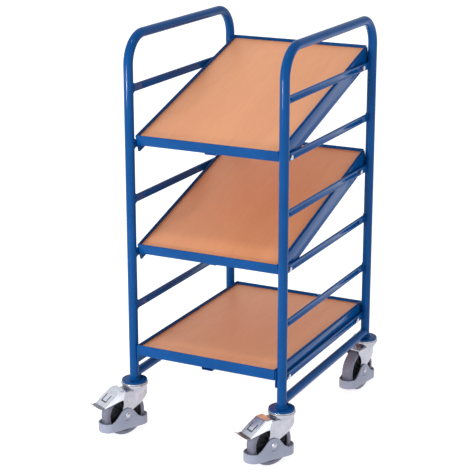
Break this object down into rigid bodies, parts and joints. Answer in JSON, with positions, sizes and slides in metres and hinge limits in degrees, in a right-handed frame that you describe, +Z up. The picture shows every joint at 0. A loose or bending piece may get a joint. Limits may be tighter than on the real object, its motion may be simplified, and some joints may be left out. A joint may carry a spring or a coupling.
{
  "type": "book cart",
  "caption": "Tubular steel book cart with one level and two tilted board trays between rung frames, on four swivel casters, the front pair with brake pedals.",
  "frame": {"origin": "on the floor, at the centre of the bounding box in X and Y", "axes": "+Z up; -Y towards the low, open front edge of the trays; +X to the right of someone standing at the front"},
  "size_m": [0.5676, 0.7552, 1.119],
  "materials": {
    "blue_powder_coat": "glossy blue powder coat with a fine orange-peel",
    "beech_decor": "satin beech-decor laminate with fine grain along the tray",
    "zinc_plate": "bright zinc-plated pressed steel",
    "grey_guard": "smooth grey-lilac moulded plastic",
    "grey_tyre": "matte non-marking grey rubber",
    "dark_core": "dark grey moulded polypropylene"
  },
  "bodies": {
    "cart_frame": {"hoop_left": "blue_powder_coat", "base_tube_left": "blue_powder_coat", "rung_left_1": "blue_powder_coat", "rung_left_2": "blue_powder_coat", "rung_left_3": "blue_powder_coat", "rung_left_4": "blue_powder_coat", "rung_left_5": "blue_powder_coat", "rung_left_6": "blue_powder_coat", "hoop_right": "blue_powder_coat", "base_tube_right": "blue_powder_coat", "rung_right_1": "blue_powder_coat", "rung_right_2": "blue_powder_coat", "rung_right_3": "blue_powder_coat", "rung_right_4": "blue_powder_coat", "rung_right_5": "blue_powder_coat", "rung_right_6": "blue_powder_coat", "tray_frame_bottom": "blue_powder_coat", "tray_board_bottom": "beech_decor", "tray_bolt_bottom_front_left": "zinc_plate", "tray_bolt_bottom_front_right": "zinc_plate", "tray_bolt_bottom_rear_left": "zinc_plate", "tray_bolt_bottom_rear_right": "zinc_plate", "tray_frame_middle": "blue_powder_coat", "tray_board_middle": "beech_decor", "tray_bolt_middle_front_left": "zinc_plate", "tray_bolt_middle_front_right": "zinc_plate", "tray_bolt_middle_rear_left": "zinc_plate", "tray_bolt_middle_rear_right": "zinc_plate", "tray_frame_top": "blue_powder_coat", "tray_board_top": "beech_decor", "tray_bolt_top_front_left": "zinc_plate", "tray_bolt_top_front_right": "zinc_plate", "tray_bolt_top_rear_left": "zinc_plate", "tray_bolt_top_rear_right": "zinc_plate", "flange_front_left": "blue_powder_coat", "flange_front_right": "blue_powder_coat", "flange_rear_right": "blue_powder_coat", "flange_rear_left": "blue_powder_coat"},
    "caster_front_left": {"fork_front_left": "zinc_plate", "foot_guard_front_left": "grey_guard", "axle_front_left": "zinc_plate"},
    "wheel_front_left": {"tyre_front_left": "grey_tyre", "wheel_core_front_left": "dark_core"},
    "pedal_front_left": {"brake_pedal_front_left": "zinc_plate"},
    "caster_front_right": {"fork_front_right": "zinc_plate", "foot_guard_front_right": "grey_guard", "axle_front_right": "zinc_plate"},
    "wheel_front_right": {"tyre_front_right": "grey_tyre", "wheel_core_front_right": "dark_core"},
    "pedal_front_right": {"brake_pedal_front_right": "zinc_plate"},
    "caster_rear_right": {"fork_rear_right": "zinc_plate", "foot_guard_rear_right": "grey_guard", "axle_rear_right": "zinc_plate"},
    "wheel_rear_right": {"tyre_rear_right": "grey_tyre", "wheel_core_rear_right": "dark_core"},
    "caster_rear_left": {"fork_rear_left": "zinc_plate", "foot_guard_rear_left": "grey_guard", "axle_rear_left": "zinc_plate"},
    "wheel_rear_left": {"tyre_rear_left": "grey_tyre", "wheel_core_rear_left": "dark_core"}
  },
  "joints": [
    {"name": "swivel_front_left", "type": "hinge", "parent": "cart_frame", "child": "caster_front_left", "pos_m": [-0.20167, -0.25287, 0.148], "axis": [0, 0, 1], "continuous": true},
    {"name": "wheel_spin_front_left", "type": "hinge", "parent": "caster_front_left", "child": "wheel_front_left", "pos_m": [-0.22045, -0.28819, 0.0625], "axis": [0.8829, -0.4695, 0], "continuous": true},
    {"name": "brake_pedal_front_left", "type": "hinge", "parent": "caster_front_left", "child": "pedal_front_left", "pos_m": [-0.22514, -0.29702, 0.1335], "axis": [0.8829, -0.4695, 0], "range_deg": [0, 8]},
    {"name": "swivel_front_right", "type": "hinge", "parent": "cart_frame", "child": "caster_front_right", "pos_m": [0.24733, -0.25287, 0.148], "axis": [0, 0, 1], "continuous": true},
    {"name": "wheel_spin_front_right", "type": "hinge", "parent": "caster_front_right", "child": "wheel_front_right", "pos_m": [0.22614, -0.2868, 0.0625], "axis": [0.848, -0.5299, 0], "continuous": true},
    {"name": "brake_pedal_front_right", "type": "hinge", "parent": "caster_front_right", "child": "pedal_front_right", "pos_m": [0.22084, -0.29528, 0.1335], "axis": [0.848, -0.5299, 0], "range_deg": [0, 8]},
    {"name": "swivel_rear_right", "type": "hinge", "parent": "cart_frame", "child": "caster_rear_right", "pos_m": [0.24733, 0.34113, 0.148], "axis": [0, 0, 1], "continuous": true},
    {"name": "wheel_spin_rear_right", "type": "hinge", "parent": "caster_rear_right", "child": "wheel_rear_right", "pos_m": [0.24039, 0.30173, 0.0625], "axis": [0.9848, -0.1736, 0], "continuous": true},
    {"name": "swivel_rear_left", "type": "hinge", "parent": "cart_frame", "child": "caster_rear_left", "pos_m": [-0.20167, 0.34113, 0.148], "axis": [0, 0, 1], "continuous": true},
    {"name": "wheel_spin_rear_left", "type": "hinge", "parent": "caster_rear_left", "child": "wheel_rear_left", "pos_m": [-0.21403, 0.30308, 0.0625], "axis": [0.9511, -0.309, 0], "continuous": true}
  ]
}
